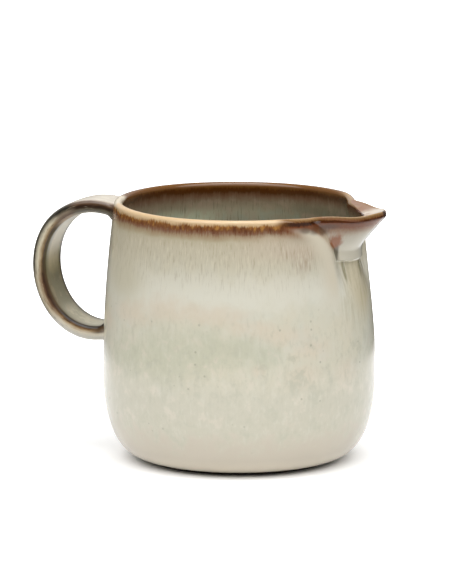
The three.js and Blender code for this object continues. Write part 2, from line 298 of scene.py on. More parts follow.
# Makes a piece of those points that its faces use, with the fields that its glaze follows
def makePiece(name, points, faces, fields, node, material):
    used, packed = np.unique(np.concatenate([np.asarray(face) for face in faces]), return_inverse=True)
    starts = np.cumsum([0] + [len(face) for face in faces])
    data = bpy.data.meshes.new(name)
    data.from_pydata(
        (points[used] * metresPerMm).tolist(),
        [],
        [packed[start:end].tolist() for start, end in zip(starts, starts[1:])],
    )
    for field, values in fields.items():
        attribute = data.attributes.new(field, "FLOAT", "POINT")
        attribute.data.foreach_set("value", values[used].astype(np.float32))
    shell = bmesh.new()
    shell.from_mesh(data)
    bmesh.ops.recalc_face_normals(shell, faces=shell.faces)
    for face in shell.faces:
        face.smooth = True
    for edge in shell.edges:
        edge.smooth = edge.is_manifold and edge.calc_face_angle() < sharpAngle
    shell.to_mesh(data)
    shell.free()
    data.materials.append(material)
    piece = bpy.data.objects.new(name, data)
    bpy.context.scene.collection.objects.link(piece)
    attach(piece, "root")
    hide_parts(node)
    print(name, len(data.vertices), "points,", len(data.polygons), "faces")


# Where the glaze pooled, blushed or thinned outside, and where shade and highlights are painted on: turn
# from the beak in degrees, depth below the rim, half width and half height
glazeMarks = {
    "pool": [
        (-133, 49, 8, 6), (-121, 47, 12, 10), (-103, 45, 16, 14), (-84, 42, 15, 11), (-70, 41, 10, 8),
        (-59, 43, 8, 6), (48, 48, 17, 9), (142, 42, 20, 9), (-170, 58, 12, 8), (95, 60, 12, 6),
    ],
    "blush": [
        (-146, 37, 10, 4), (-124, 32, 17, 5), (-103, 29, 17, 5), (-81, 30, 16, 4.5), (-65, 34, 12, 4),
        (-50, 37, 12, 4.5), (-38, 42, 10, 4.5), (-42, 51, 8, 6), (-18, 52, 8, 6), (-62, 48, 3, 2.4),
        (-82, 60, 2.6, 2.8), (60, 34, 16, 4), (170, 46, 12, 5), (115, 28, 13, 4),
    ],
    # painted shade: the wall towards the handle darker, as the light falls on it
    "sidePaintedShade": [(-130, 21, 12, 8), (-138, 57, 9, 8)],
    # pale crest of the near rim: pale glaze, partly a painted highlight
    "rimPaleAndHighlight": [(-64, 0.2, 10, 3), (-85, 0.2, 18, 3), (-112, 0.2, 18, 3), (-138, 0.2, 14, 3)],
    # cream crest beside the handle, partly a painted highlight
    "rimCreamAndHighlight": [(-162, 0.4, 9, 1.5)],
    "warmThroat": [(0, 24, 11, 11)],
    "oliveRun": [(-12, 19, 1.0, 4), (3, 17, 2.0, 6), (13, 18, 1.2, 4)],
    "frontPale": [(0, 7, 2.3, 8)],
    "tipDark": [(0, 0.6, 1.7, 1.8)],
}

# Those that lie alike on both sides of the beak, as they are on one side
pairedMarks = {
    "pinkShade": [(46, 8, 6, 4.5), (41, 12, 4.5, 5)],
    "pinchDark": [(41, 1.4, 6, 3)],
    # painted shade: the shadow in the hollow under the lip, between the pinch and the crease
    "hollowPaintedShade": [(38.5, 3.6, 3, 1.2), (33, 3.9, 3.2, 1.4), (27, 4.7, 3, 1.4), (24, 3.4, 4, 0.9)],
    "creaseSpot": [(19.1, 8.6, 2.7, 3)],
    # painted shade: the shadow down the crease beside the beak
    "creasePaintedShade": [(17.8, 12.2, 1.4, 3.2)],
}
for field, marks in pairedMarks.items():
    glazeMarks[field] = marks + [(-turn, *size) for turn, *size in marks]

glazeLayout = {
    "insideFade": (-4.0, -2.0),   # runs inside the lip over which the outside's marks come in
    "beakProud": 1.5,         # the beak's own tones are full where it stands this far out of the wall
    "farOff": 99.0,           # a gap past every coat's span, for the two points on the axis
}


def markField(marks, turn, depth, radius):
    total = np.zeros(np.broadcast(turn, depth).shape)
    for markTurn, markDepth, halfWidth, halfHeight in marks:
        aside = np.radians((turn - markTurn + 180.0) % 360.0 - 180.0) * radius / halfWidth
        below = (depth - markDepth) / halfHeight
        total = np.maximum(total, np.exp(-aside ** 2 - below ** 2))
    return total


# What the glaze follows on the pot's grid: each field's values there and at the two points on the axis
def glazeFields(section, angle, radius):
    deep = (pot["rimHeight"] - section[:, 1])[:, None]
    run = np.concatenate([[0.0], np.cumsum(np.hypot(*np.diff(section, axis=0).T))])
    run = run[np.argmax(section[:, 1])] - run
    lipRun = np.repeat(run[:, None], angle.shape[1], axis=1)
    nearLip = smoothStep(lipRun, *glazeLayout["insideFade"])
    proud = np.where(isThroat(angle, deep), beakRadius(angle, deep) - drawnRadius(angle, deep), 0.0)
    innerWall = drawnRadius(angle, deep) - wallAt(deep)
    fold = flangeRadius(angle, deep) - np.maximum(troughRadius(angle, deep), innerWall)
    degrees = np.degrees(angle)
    farOff = glazeLayout["farOff"]
    layout = {
        "lipRun": (lipRun, run[0], run[-1]),
        "beakTurn": (np.abs(degrees), 180.0, 180.0),
        "ridgeGap": ((np.abs(angle) - ridgeAngle(deep)) * radius, farOff, farOff),
        "beakShare": (smoothStep(proud, 0.0, glazeLayout["beakProud"]) * nearLip, 0.0, 0.0),
        "foldGap": (fold, -farOff, -farOff),
    }
    for field, marks in glazeMarks.items():
        layout[field] = (markField(marks, degrees, deep, radius) * nearLip, 0.0, 0.0)
    return {field: np.append(values.ravel(), ends) for field, (values, *ends) in layout.items()}


# Faces of the body and of the beak, which lies from the first to the last row. Both are closed by the seam.
def potFaces(rows, columns, first, last):
    def at(row, column):
        return row * columns + column % columns

    bodyFaces = []
    beakFaces = []
    for row in range(rows - 1):
        for column in range(columns):
            inNotch = first <= row < last and column < potMesh["beakColumns"]
            face = [at(row, column), at(row, column + 1), at(row + 1, column + 1), at(row + 1, column)]
            (beakFaces if inNotch else bodyFaces).append(face)
    for column in range(columns):
        bodyFaces.append([rows * columns, at(0, column + 1), at(0, column)])
        bodyFaces.append([rows * columns + 1, at(rows - 1, column), at(rows - 1, column + 1)])
    seam = []
    for column in (0, potMesh["beakColumns"]):
        for row in range(first, (first + last + 1) // 2):
            across = first + last - row
            corners = [at(row, column), at(row + 1, column), at(across - 1, column), at(across, column)]
            seam.append(list(dict.fromkeys(corners)))
    for column in range(potMesh["beakColumns"]):
        seam.append([at(first, column), at(first, column + 1), at(last, column + 1), at(last, column)])
    return bodyFaces + seam, beakFaces + seam


# Body and beak share one grid of points, so they meet along the creases without a gap
def buildPot(material):
    section = potSection()
    depth = pot["rimHeight"] - section[:, 1]
    turn = columnTurns(creaseAngle(depth))
    angle = np.arctan2(np.sin(turn), np.cos(turn))
    deep = depth[:, None]
    inset = (outerRadius(section[:, 1]) - section[:, 0])[:, None]
    radius = blend(formedRadius(angle, deep), innerRadius(angle, deep), inset / wallAt(deep))
    height = section[:, 1][:, None] - lipDrop(angle, deep)
    grid = np.stack([radius * np.cos(angle), radius * np.sin(angle), height], axis=2)
    points = np.concatenate([grid.reshape(-1, 3), [[0.0, 0.0, 0.0], [0.0, 0.0, pot["floor"]]]])
    fields = glazeFields(section, angle, radius)
    crest = int(np.argmax(section[:, 1]))
    first = int(np.argmin(np.abs(depth[:crest] - beak["depth"])))
    last = crest + int(np.argmin(np.abs(depth[crest:] - beak["depth"])))
    bodyFaces, beakFaces = potFaces(*angle.shape, first, last)
    makePiece("jollied_body", points, bodyFaces, fields, "body", material)
    makePiece("folded_beak", points, beakFaces, fields, "spout", material)


handle = {
    "width": 15.2,
    "thickness": 4.6,
    "topThinning": 0.5,       # thinner by this much at the upper end
    "thinning": (0.1, 0.35),  # shares of its length between which it gains its full thickness
    "edge": 1.2,              # rounding of the strap's corners
    "crown": 0.3,             # rise of the outer face
    "standOff": 24.7,         # wall to the centreline at its furthest
    "topDrop": 5.0,
    "reachDrop": 23.6,
    "bottomDrop": 44.5,
    "topRun": 13.2,
    "topRise": 5.8,
    "shoulderRun": 16.8,
    "hipRun": 13.0,
    "bottomRun": 15.1,
    "bottomSag": 5.1,
    "padLength": 2.4,
    "padFlare": 0.7,
    "padRoot": 1.2,           # how far the luting reaches into the wall
    "lineSteps": 1500,        # points along each half of the centreline
    "rings": 180,
    "padRings": 20,
    "edgeRows": 4,
    "cornerRows": 8,
    "faceRows": 15,
}


# Points and tangents along the strap's centreline, with the length run and the distance out from the wall
def handleLine():
    rim = pot["rimHeight"]
    topZ, reachZ, bottomZ = (rim - handle[drop] for drop in ("topDrop", "reachDrop", "bottomDrop"))
    topX, bottomX = (pot["wall"] / 2.0 - float(outerRadius(z)) for z in (topZ, bottomZ))
    reachX = -(float(outerRadius(reachZ)) + handle["standOff"])
    upper = [
        (topX, topZ),
        (topX - handle["topRun"], topZ + handle["topRise"]),
        (reachX, reachZ + handle["shoulderRun"]),
        (reachX, reachZ),
    ]
    lower = [
        (reachX, reachZ),
        (reachX, reachZ - handle["hipRun"]),
        (bottomX - handle["bottomRun"], bottomZ - handle["bottomSag"]),
        (bottomX, bottomZ),
    ]
    share = np.linspace(0.0, 1.0, handle["lineSteps"])[:, None]
    rest = 1.0 - share
    weights = (rest ** 3, 3 * rest ** 2 * share, 3 * rest * share ** 2, share ** 3)
    halves = []
    for corners in (upper, lower):
        halves.append(sum(weight * np.array(corner) for weight, corner in zip(weights, corners)))
    place = np.concatenate([halves[0], halves[1][1:]])
    tangent = np.gradient(place, axis=0)
    tangent /= np.linalg.norm(tangent, axis=1)[:, None]
    run = np.concatenate([[0.0], np.cumsum(np.linalg.norm(np.diff(place, axis=0), axis=1))])
    fromWall = -place[:, 0] - outerRadius(place[:, 1])
    return {"place": place, "tangent": tangent, "run": run, "fromWall": fromWall}


# Rounded strap section: across the width, out from the loop, and the run round the corner from mid-edge
def strapSection():
    halfWidth = handle["width"] / 2.0
    halfThickness = handle["thickness"] / 2.0
    edge = handle["edge"]
    flat = halfThickness - edge
    quarter = np.linspace(0.0, math.pi / 2, handle["cornerRows"] + 1)[1:-1]
    across = np.concatenate([
        np.full(handle["edgeRows"], halfWidth),
        halfWidth - edge + edge * np.cos(quarter),
        np.linspace(halfWidth - edge, 0.0, handle["faceRows"]),
    ])
    out = np.concatenate([
        np.linspace(0.0, flat, handle["edgeRows"]),
        flat + edge * np.sin(quarter),
        np.full(handle["faceRows"], halfThickness),
    ])
    run = np.concatenate([[0.0], np.cumsum(np.hypot(np.diff(across), np.diff(out)))])
    crown = handle["crown"] * (1.0 - (across / halfWidth) ** 2) * smoothStep(out, flat, halfThickness)
    across = np.concatenate([across, -across[-2::-1], -across[1:], across[-2:0:-1]])
    outward = np.concatenate([out + crown, (out + crown)[-2::-1], -out[1:], -out[-2:0:-1]])
    run = np.concatenate([-run, -run[-2::-1], run[1:], run[-2:0:-1]])
    return across, outward, run


# A stretch of the strap: rings at these runs along its line, each flared by so much
def loftPiece(name, line, runs, flares, node, material):
    across, outward, cornerRun = strapSection()
    count = len(across)
    rings = []
    for run, flare in zip(runs, flares):
        middle, along = (
            np.array([np.interp(run, line["run"], line[key][:, axis]) for axis in (0, 1)])
            for key in ("place", "tangent")
        )
        along /= np.linalg.norm(along)
        normal = np.array([along[1], -along[0]])             # away from the loop's inside
        thinning = handle["topThinning"] * (1.0 - smoothStep(run / line["run"][-1], *handle["thinning"]))
        wide = across * (1.0 + 2.0 * flare / handle["width"])
        thick = outward * (1.0 + (2.0 * flare - thinning) / handle["thickness"])
        rings.append(np.stack([middle[0] + normal[0] * thick, wide, middle[1] + normal[1] * thick], axis=1))
    points = np.concatenate(rings)
    faces = []
    for ring in range(len(rings) - 1):
        for corner in range(count):
            near = ring * count + corner
            beside = ring * count + (corner + 1) % count
            faces.append([near, beside, beside + count, near + count])
    last = (len(rings) - 1) * count
    faces.append(list(range(count))[::-1])
    faces.append(list(range(last, last + count)))
    fields = {
        "cornerRun": np.tile(cornerRun, len(rings)),
        "across": np.tile(across, len(rings)),
        "strapRun": np.repeat(np.asarray(runs), count),
    }
    makePiece(name, points, faces, fields, node, material)


def buildHandle(material):
    line = handleLine()
    run, fromWall = line["run"], line["fromWall"]
    half = len(run) // 2
    padStops = (handle["padLength"], -handle["padRoot"])
    topEnd, topRoot = np.interp(padStops, fromWall[:half], run[:half])
    bottomEnd, bottomRoot = np.interp(padStops, fromWall[half:][::-1], run[half:][::-1])
    runs = np.linspace(topEnd, bottomEnd, handle["rings"])
    loftPiece("strap_handle", line, runs, np.zeros(len(runs)), "handle", material)
    print("strap runs", round(topEnd, 1), "to", round(bottomEnd, 1), "of", round(run[-1], 1), "mm")
    for name, root, end, node in (
        ("top_luting", topRoot, topEnd, "handle_top_luting"),
        ("bottom_luting", bottomRoot, bottomEnd, "handle_bottom_luting"),
    ):
        runs = np.linspace(root, end, handle["padRings"])
        out = np.interp(runs, run, fromWall)
        flares = handle["padFlare"] * (1.0 - np.clip(out / handle["padLength"], 0.0, 1.0)) ** 2
        loftPiece(name, line, runs, flares, node, material)


# An sRGB hex value as the linear colour that a node takes
def linear(hexColour):
    channels = [int(hexColour[start:start + 2], 16) / 255.0 for start in (1, 3, 5)]
    return [c / 12.92 if c <= 0.04045 else ((c + 0.055) / 1.055) ** 2.4 for c in channels] + [1.0]


# Adds one node: its settings, its inputs (a value or another node's socket) and a ramp's stops
def addNode(tree, kind, inputs=None, stops=None, **settings):
    node = tree.nodes.new("ShaderNode" + kind)
    for name, value in settings.items():
        setattr(node, name, value)
    for key, value in (inputs or {}).items():
        if isinstance(value, bpy.types.NodeSocket):
            tree.links.new(value, node.inputs[key])
        else:
            node.inputs[key].default_value = value
    if stops:
        ramp = node.color_ramp
        while len(ramp.elements) < len(stops):
            ramp.elements.new(1.0)
        for element, (place, colour) in zip(ramp.elements, stops):
            element.position = place
            element.color = linear(colour)
    return node


def perMetre(sizeMm):
    return 1.0 / (sizeMm * metresPerMm)


def startMaterial(name):
    material = bpy.data.materials.new(name)
    material.use_nodes = True
    material.node_tree.nodes.clear()
    return material, material.node_tree


# Bands of tone that lie at set runs in mm, the first band's tone before them and the last one's after
def bandTones(tree, run, bands):
    first, last = bands[0][0], bands[-1][0]
    share = addNode(tree, "MapRange", {0: run, 1: first, 2: last}).outputs[0]
    stops = [((mm - first) / (last - first), tone) for mm, tone in bands]
    return addNode(tree, "ValToRGB", {0: share}, stops).outputs[0]


# Lays coats of colour over each other. Each coat shows as strongly as its share, where every one of its
# fields lies within its span. A tone is a colour or one of the sources.
def layCoats(tree, base, coats, sources):
    def tint(tone):
        return sources[tone] if tone in sources else linear(tone)

    colour = tint(base)
    for tone, share, spans in coats:
        mask = share
        for field, low, high in spans:
            span = {0: sources[field], 1: low, 2: high}
            step = addNode(tree, "MapRange", span, interpolation_type="SMOOTHSTEP").outputs[0]
            mask = addNode(tree, "Math", {0: step, 1: mask}, operation="MULTIPLY").outputs[0]
        colour = addNode(tree, "Mix", {0: mask, 6: colour, 7: tint(tone)}, data_type="RGBA").outputs[2]
    return colour


# A field that a noise shifts to and fro, by half the reach at most
def frayed(tree, field, noise, reach):
    centred = addNode(tree, "Math", {0: noise, 1: 0.5}, operation="SUBTRACT").outputs[0]
    return addNode(tree, "Math", {0: centred, 1: reach, 2: field}, operation="MULTIPLY_ADD").outputs[0]


def finishGlaze(tree, look, colour):
    shader = addNode(tree, "BsdfPrincipled", {
        "Base Color": colour, "Roughness": look["roughness"], "IOR": look["ior"],
    })
    addNode(tree, "OutputMaterial", {"Surface": shader.outputs[0]})


bodyGlaze = {
    "cream": "#D7D3C0",
    "roughness": 0.14,
    "ior": 1.52,
    # size across and along the height in mm, and detail
    "noises": {
        "cloud": (26.0, 26.0, 4.0),
        "patch": (5.0, 5.0, 4.0),
        "mottle": (1.3, 3.0, 3.0),
        "hair": (0.5, 5.0, 3.0),      # finer on the real glaze, too fine to show, so drawn a little coarse
        "strand": (1.5, 26.0, 3.0),
    },
    "noiseRoughness": 0.6,
    "speckMm": 3.4,
    # fields with frayed edges: the field, the noise that frays it and how far
    "frays": {
        "wavyRim": ("lipRun", "patch", 2.2),
        "raggedRim": ("wavyRim", "hair", 2.0),
        "raggedLip": ("lipRun", "hair", 1.4),
        "wavyDepth": ("lipRun", "patch", 16.0),
        "wavyHeight": ("height", "patch", 0.02),
        "creaseSpotEdge": ("creaseSpot", "mottle", 0.9),
        "poolEdge": ("pool", "patch", 1.2),
        "blushEdge": ("blush", "patch", 1.2),
    },
    # tone by the run from the lip's crest in mm, plus outside and minus inside
    "rimBands": [
        (-14.0, "#96927E"), (-10.5, "#9A947C"), (-7.1, "#85765F"), (-5.0, "#6E503A"), (-3.8, "#502D0D"),
        (-3.0, "#542A08"), (-2.2, "#6C441A"), (-0.4, "#704A20"), (1.4, "#7E5428"), (2.4, "#8E5E26"),
        (3.2, "#7B4A23"), (3.9, "#724728"), (4.8, "#846048"), (6.0, "#A59172"), (7.6, "#BCB298"),
        (10.5, "#C7BFA9"),
    ],
    "beakBands": [
        (-10.0, "#88856F"), (-6.0, "#6E5F48"), (-3.6, "#4E2D15"), (-2.6, "#492207"), (-1.7, "#836239"),
        (0.0, "#A9875C"), (1.0, "#896A43"), (1.7, "#754B21"), (2.2, "#4A2408"), (2.6, "#522608"),
        (3.3, "#743E1C"), (4.4, "#7A4728"), (5.4, "#927054"), (7.0, "#AC9A84"), (10.0, "#BCB4A2"),
    ],
    # tone, share, and the spans of the fields within which the coat lies: runs and gaps in mm, turns in
    # degrees, height in metres, and marks and noises from about 0 to 1
    "coats": [
        # cloudy belly with its pale band, pool and blush
        ("#DAD3BE", 0.6, [("cloud", 0.5, 0.62)]),
        ("#D3D4C6", 0.6, [("cloud", 0.48, 0.36)]),
        ("#DFDCCD", 0.8, [("wavyDepth", 15.0, 20.0), ("wavyDepth", 34.0, 25.0)]),
        ("#C6C6B0", 0.75, [("poolEdge", 0.25, 1.0)]),
        ("#DDCDB8", 0.5, [("blushEdge", 0.2, 1.05)]),
        # painted shade on the wall towards the handle
        ("#C2BA9E", 0.6, [("sidePaintedShade", 0.05, 0.95)]),
        # lower wall, patchy, mottled and specked, then the heel
        ("#C9C5B3", 0.95, [("wavyDepth", 46.0, 62.0)]),
        ("#BEBDAA", 0.5, [("patch", 0.52, 0.68), ("lipRun", 34.0, 46.0)]),
        ("#DBD2C2", 0.5, [("patch", 0.46, 0.32), ("lipRun", 34.0, 46.0)]),
        ("#BFBCA8", 0.35, [("mottle", 0.5, 0.7), ("lipRun", 24.0, 38.0)]),
        ("#DAD7C9", 0.3, [("mottle", 0.48, 0.3), ("lipRun", 24.0, 38.0)]),
        ("#98967F", 0.5, [("speckGap", 0.15, 0.07), ("speckPick", 0.58, 0.6), ("lipRun", 26.0, 38.0)]),
        ("#C8BFAE", 1.0, [("wavyHeight", 0.018, 0.008)]),
        # painted light: the lowest few mm of the heel paler, against the shade where it turns down to the
        # floor
        ("#DED4C1", 1.0, [("height", 0.007, 0.002)]),
        # khaki shoulder, the throat with its olive runs, and a pink shade beside it
        ("#C2B9A1", 1.0, [("lipRun", 26.0, 7.0)]),
        ("#CFC2A0", 0.7, [("warmThroat", 0.15, 0.85)]),
        ("#ADA37C", 0.3, [("beakTurn", 22.0, 17.0), ("strand", 0.46, 0.62), ("lipRun", 46.0, 26.0)]),
        ("#857F5C", 0.7, [("oliveRun", 0.2, 0.8), ("strand", 0.2, 0.45)]),
        ("#AE9580", 0.55, [("pinkShade", 0.1, 0.8), ("hair", 0.25, 0.65)]),
        # rim, its streaks and the hairs that run down from it
        ("rimBands", 1.0, [("raggedRim", 12.0, 7.5)]),
        ("#CDBDA8", 0.5, [("beakTurn", 80.0, 54.0), ("raggedRim", 4.6, 6.6), ("lipRun", 16.0, 10.0)]),
        ("#4E260A", 0.7, [("mottle", 0.52, 0.66), ("raggedRim", 1.8, 2.6), ("raggedRim", 5.4, 3.8)]),
        ("#B98540", 0.7, [("mottle", 0.48, 0.34), ("raggedRim", 1.8, 2.6), ("raggedRim", 4.6, 3.2)]),
        ("#9C8E72", 0.4, [("hair", 0.52, 0.7), ("lipRun", 30.0, 12.0), ("lipRun", 3.4, 5.5)]),
        ("#DBD4BE", 0.4, [("hair", 0.48, 0.32), ("lipRun", 30.0, 12.0), ("lipRun", 5.5, 9.0)]),
        # beak, the creases and ridges beside it, and its pale front edge: the dark down the creases and in
        # the hollows under the lip is painted shade, and the pale band along the ridges is a painted
        # highlight
        ("#C6C0AE", 1.0, [("beakShare", 0.1, 0.6)]),
        ("#DAD4C2", 0.8, [("beakShare", 0.1, 0.6), ("lipRun", 9.0, 13.0)]),
        # painted shade down the crease beside the beak
        ("#6E6858", 0.95, [("creasePaintedShade", 0.15, 0.7)]),
        ("beakBands", 1.0, [("beakTurn", 54.0, 42.0), ("raggedLip", 10.0, 5.5)]),
        # painted highlight: pale band along the ridges beside the beak
        ("#D8CFBA", 0.95, [
            ("ridgeGap", -2.4, 0.4), ("ridgeGap", 8.5, 1.4), ("lipRun", 34.0, 20.0), ("lipRun", 3.2, 5.2),
        ]),
        # painted shade in the hollow under the beak's lip
        ("#57402E", 0.7, [("hollowPaintedShade", 0.1, 0.9)]),
        ("#98603E", 0.95, [("creaseSpotEdge", 0.15, 0.85)]),
        ("#D6D3C8", 0.8, [("frontPale", 0.15, 0.9), ("lipRun", 1.8, 3.4)]),
        # pale crest of the near rim and cream crest by the handle: pale glaze with a painted highlight on
        # it, on the near side alone
        ("#D0B38A", 1.0, [("rimPaleAndHighlight", 0.25, 0.6), ("raggedRim", 2.9, 1.8), ("raggedRim", -2.8, -1.8)]),
        # cream crest beside the handle, partly a painted highlight
        ("#DCCFB6", 1.0, [("rimCreamAndHighlight", 0.25, 0.7)]),
        # flange inside the beak, then the dark lip at the pinches and the tip
        ("#967B66", 1.0, [("foldGap", 0.0, 0.4), ("lipRun", -0.4, -0.9), ("lipRun", -3.4, -2.4)]),
        ("#EADFCF", 0.95, [("beakTurn", 16.0, 6.0), ("foldGap", 0.0, 0.4), ("lipRun", -0.2, -0.7)]),
        ("#8A5C44", 0.5, [
            ("foldGap", 0.0, 0.4), ("foldGap", 4.5, 1.0), ("patch", 0.42, 0.56), ("lipRun", -3.4, -2.4),
        ]),
        ("#341A08", 0.8, [("pinchDark", 0.1, 0.7), ("raggedLip", 1.5, 2.1), ("raggedLip", 3.5, 2.7)]),
        ("#3A1E0C", 0.9, [("tipDark", 0.3, 0.8), ("lipRun", -1.6, -0.6)]),
        # inside, below the rim
        ("#C0C6A8", 0.8, [("beakTurn", 112.0, 136.0), ("beakTurn", 165.0, 150.0), ("lipRun", -8.0, -13.0)]),
        ("#6C644E", 0.8, [("beakTurn", 105.0, 60.0), ("lipRun", -5.0, -9.0)]),
        ("#8A9686", 0.4, [("patch", 0.46, 0.66), ("lipRun", -7.0, -12.0)]),
        ("#A08876", 0.35, [("patch", 0.52, 0.34), ("lipRun", -4.5, -8.0)]),
        ("#6E6450", 0.5, [("hair", 0.54, 0.68), ("lipRun", -4.0, -8.0)]),
        # bare foot, painted near-black: bare clay, and the painted shadow of the dark contact line under
        # the heel
        ("#2E2620", 1.0, [("height", 0.0012, 0.0009), ("lipRun", 60.0, 70.0)]),
    ],
}


# Reactive glaze, dipped and fired on stoneware: glossy cream that pools thick and cloudy low down, runs in
# fine hairs under the rim, and goes brown where it thins over the lip. The foot is bare clay, painted
# near-black as the painted shadow of the contact line too.
def creamGlaze():
    look = bodyGlaze
    material, tree = startMaterial("cream_reactive_glaze")
    place = addNode(tree, "TexCoord").outputs["Object"]
    sources = {"height": addNode(tree, "SeparateXYZ", {0: place}).outputs["Z"]}
    for field in ("lipRun", "beakTurn", "ridgeGap", "beakShare", "foldGap", *glazeMarks):
        sources[field] = addNode(tree, "Attribute", attribute_name=field).outputs["Fac"]
    for name, (acrossMm, alongMm, detail) in look["noises"].items():
        stretched = addNode(tree, "Mapping", {"Vector": place, "Scale": (1.0, 1.0, acrossMm / alongMm)})
        sources[name] = addNode(tree, "TexNoise", {
            "Vector": stretched.outputs[0], "Scale": perMetre(acrossMm),
            "Detail": detail, "Roughness": look["noiseRoughness"],
        }).outputs["Fac"]
    speck = addNode(tree, "TexVoronoi", {"Vector": place, "Scale": perMetre(look["speckMm"])})
    sources["speckGap"] = speck.outputs["Distance"]
    sources["speckPick"] = speck.outputs["Color"]
    for name, (field, noise, reach) in look["frays"].items():
        sources[name] = frayed(tree, sources[field], sources[noise], reach)
    sources["rimBands"] = bandTones(tree, sources["raggedRim"], look["rimBands"])
    sources["beakBands"] = bandTones(tree, sources["raggedLip"], look["beakBands"])
    finishGlaze(tree, look, layCoats(tree, look["cream"], look["coats"], sources))
    return material


strapGlaze = {
    "roughness": 0.28,
    "ior": 1.52,
    "patchMm": 3.5,
    "grainMm": 0.8,
    "grainLengthMm": 5.0,
    "noiseDetail": 3.0,
    "noiseRoughness": 0.6,
    "wander": {"patch": 0.6, "grain": 1.0},   # how far each noise makes the bands wander across the edge
    # tone across the strap's edge, from its outer face (minus) over mid-edge to its inner face, in mm
    "topBands": [
        (-4.0, "#CAC1B2"), (-3.0, "#B4A697"), (-2.1, "#675446"), (-1.2, "#5E442E"), (-0.6, "#331C08"),
        (0.1, "#311F0D"), (0.7, "#645C4B"), (1.3, "#625C52"), (2.0, "#989280"), (4.0, "#C6BEA8"),
    ],
    "shoulderBands": [
        (-4.5, "#C0B9B0"), (-2.8, "#7E796E"), (-2.0, "#2E2A20"), (-1.2, "#151008"), (-0.6, "#5B5342"),
        (0.0, "#877967"), (1.2, "#675447"), (1.8, "#A8937F"), (3.0, "#BDB094"), (5.0, "#CDC4AE"),
    ],
    "backBands": [
        (-4.0, "#B5AE9C"), (-2.4, "#665F4E"), (-1.5, "#322F25"), (-0.8, "#B5AC96"), (-0.2, "#D1C9B0"),
        (0.4, "#B9A687"), (1.0, "#846C4C"), (1.6, "#402E16"), (2.3, "#51472B"), (4.0, "#968D6B"),
        (6.0, "#C5B998"),
    ],
    "hipBands": [
        (-4.0, "#958B76"), (-2.0, "#5C5240"), (-0.8, "#BDB096"), (0.0, "#9A8568"), (0.7, "#664830"),
        (1.5, "#39200B"), (2.4, "#544027"), (3.6, "#827659"), (6.0, "#8B8468"),
    ],
    "bottomBands": [
        (-4.0, "#CFCABD"), (-1.4, "#BFBBB0"), (-0.2, "#D2C8B4"), (0.6, "#AE9672"), (1.2, "#7E5E3A"),
        (1.8, "#170A05"), (2.4, "#2A1D0A"), (3.2, "#695F46"), (4.5, "#A2997E"), (7.0, "#C8C0A6"),
    ],
    # the bands that follow the top's, and the stretch of the strap in mm over which they take over
    "parts": [
        ("shoulderBands", 14.5, 19.0), ("backBands", 21.0, 27.0), ("hipBands", 40.0, 47.0),
        ("bottomBands", 56.0, 62.0),
    ],
    # over them: tone, share, and the spans of the fields within which the coat lies
    "coats": [
        ("#DDD6C4", 0.4, [("patch", 0.5, 0.36), ("cornerRun", -3.2, -4.4)]),
        ("#978B72", 0.45, [("grain", 0.52, 0.7), ("cornerRun", -2.6, -4.0)]),
        ("#1E1208", 0.55, [("grain", 0.56, 0.7), ("cornerRun", 3.2, 2.2), ("cornerRun", -2.4, -1.6)]),
        ("#D6CBB0", 0.4, [("grain", 0.44, 0.3), ("cornerRun", 1.2, 0.4), ("cornerRun", -2.2, -1.2)]),
        ("#8E8A6A", 0.4, [("patch", 0.5, 0.62), ("cornerRun", 2.6, 3.8), ("strapRun", 38.0, 45.0)]),
        ("#B3A37F", 0.4, [("patch", 0.46, 0.36), ("cornerRun", 2.6, 3.8), ("strapRun", 22.0, 28.0)]),
        ("#4A4230", 0.9, [("across", 4.6, 6.0), ("cornerRun", 2.0, 2.5), ("strapRun", 24.0, 30.0)]),
        ("#4A3419", 0.85, [("strapRun", 71.5, 76.0), ("cornerRun", 2.2, 1.4), ("cornerRun", -0.4, 0.4)]),
    ],
}


# The same glaze on the strap: pale on its faces, brown to black over the corners, in tones that change
# along the loop
def handleGlaze():
    look = strapGlaze
    material, tree = startMaterial("strap_reactive_glaze")
    place = addNode(tree, "TexCoord").outputs["Object"]
    sources = {}
    for field in ("cornerRun", "strapRun", "across"):
        sources[field] = addNode(tree, "Attribute", attribute_name=field).outputs["Fac"]
    unrolled = addNode(tree, "CombineXYZ", {0: sources["strapRun"], 1: sources["cornerRun"]})
    stretched = addNode(tree, "Mapping", {
        "Vector": unrolled.outputs[0], "Scale": (1.0 / look["grainLengthMm"], 1.0 / look["grainMm"], 1.0),
    })
    for name, vector, scale in (
        ("grain", stretched.outputs[0], 1.0),
        ("patch", place, perMetre(look["patchMm"])),
    ):
        sources[name] = addNode(tree, "TexNoise", {
            "Vector": vector, "Scale": scale,
            "Detail": look["noiseDetail"], "Roughness": look["noiseRoughness"],
        }).outputs["Fac"]
    wandering = sources["cornerRun"]
    for noise, reach in look["wander"].items():
        wandering = frayed(tree, wandering, sources[noise], reach)
    sources["topBands"] = bandTones(tree, wandering, look["topBands"])
    coats = []
    for part, start, end in look["parts"]:
        sources[part] = bandTones(tree, wandering, look[part])
        coats.append((part, 1.0, [("strapRun", start, end)]))
    finishGlaze(tree, look, layCoats(tree, "topBands", coats + look["coats"], sources))
    return material


view = {
    "pivotMm": 42.8,          # height on the pot's axis that the measured angles turn about
    "distanceMm": 1800.0,
    "azimuth": math.radians(20.0),
    "elevation": math.radians(10.6),
    "aimRightMm": -4.37,
    "aimUpMm": 12.2,
    "lensMm": 335.56,         # long, so that the jug shows little perspective
    "sensorMm": 36.0,
    "clipEnd": 100.0,         # metres
}


# Level directions right of and behind the jug, as the camera sees it
def viewAxes():
    azimuth = view["azimuth"]
    right = Vector((math.cos(azimuth), math.sin(azimuth), 0.0))
    behind = Vector((-math.sin(azimuth), math.cos(azimuth), 0.0))
    return right, behind


